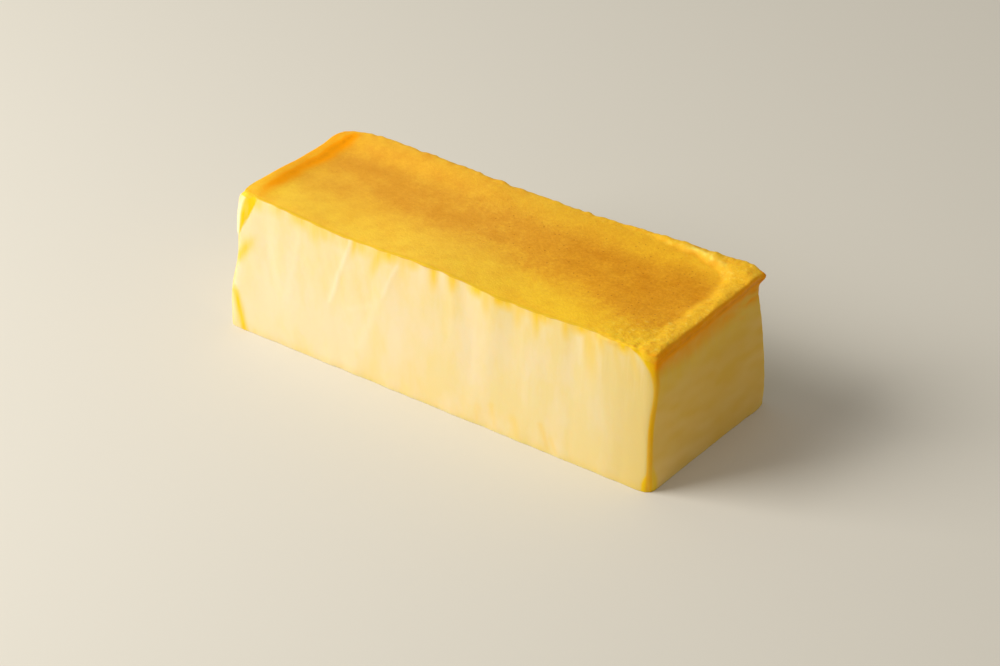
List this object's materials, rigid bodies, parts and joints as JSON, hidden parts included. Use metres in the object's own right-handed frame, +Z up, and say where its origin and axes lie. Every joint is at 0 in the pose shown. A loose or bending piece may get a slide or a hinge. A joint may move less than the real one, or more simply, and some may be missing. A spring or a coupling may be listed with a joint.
{
  "type": "cheesecake bar",
  "caption": "Whole loaf-shaped baked cheesecake bar with a golden browned top sunk inside a raised rim, creased cream sides and a flat foot that rests on a plate or board.",
  "frame": {"origin": "middle of the box round the bar, at its flat foot", "axes": "+X along the bar to the end with the flared lip, +Y from the front side to the back, +Z up"},
  "size_m": [0.184, 0.071, 0.0553],
  "materials": {
    "custard": "satin"
  },
  "bodies": {
    "root": {"cheesecake_bar": "custard"}
  },
  "joints": []
}
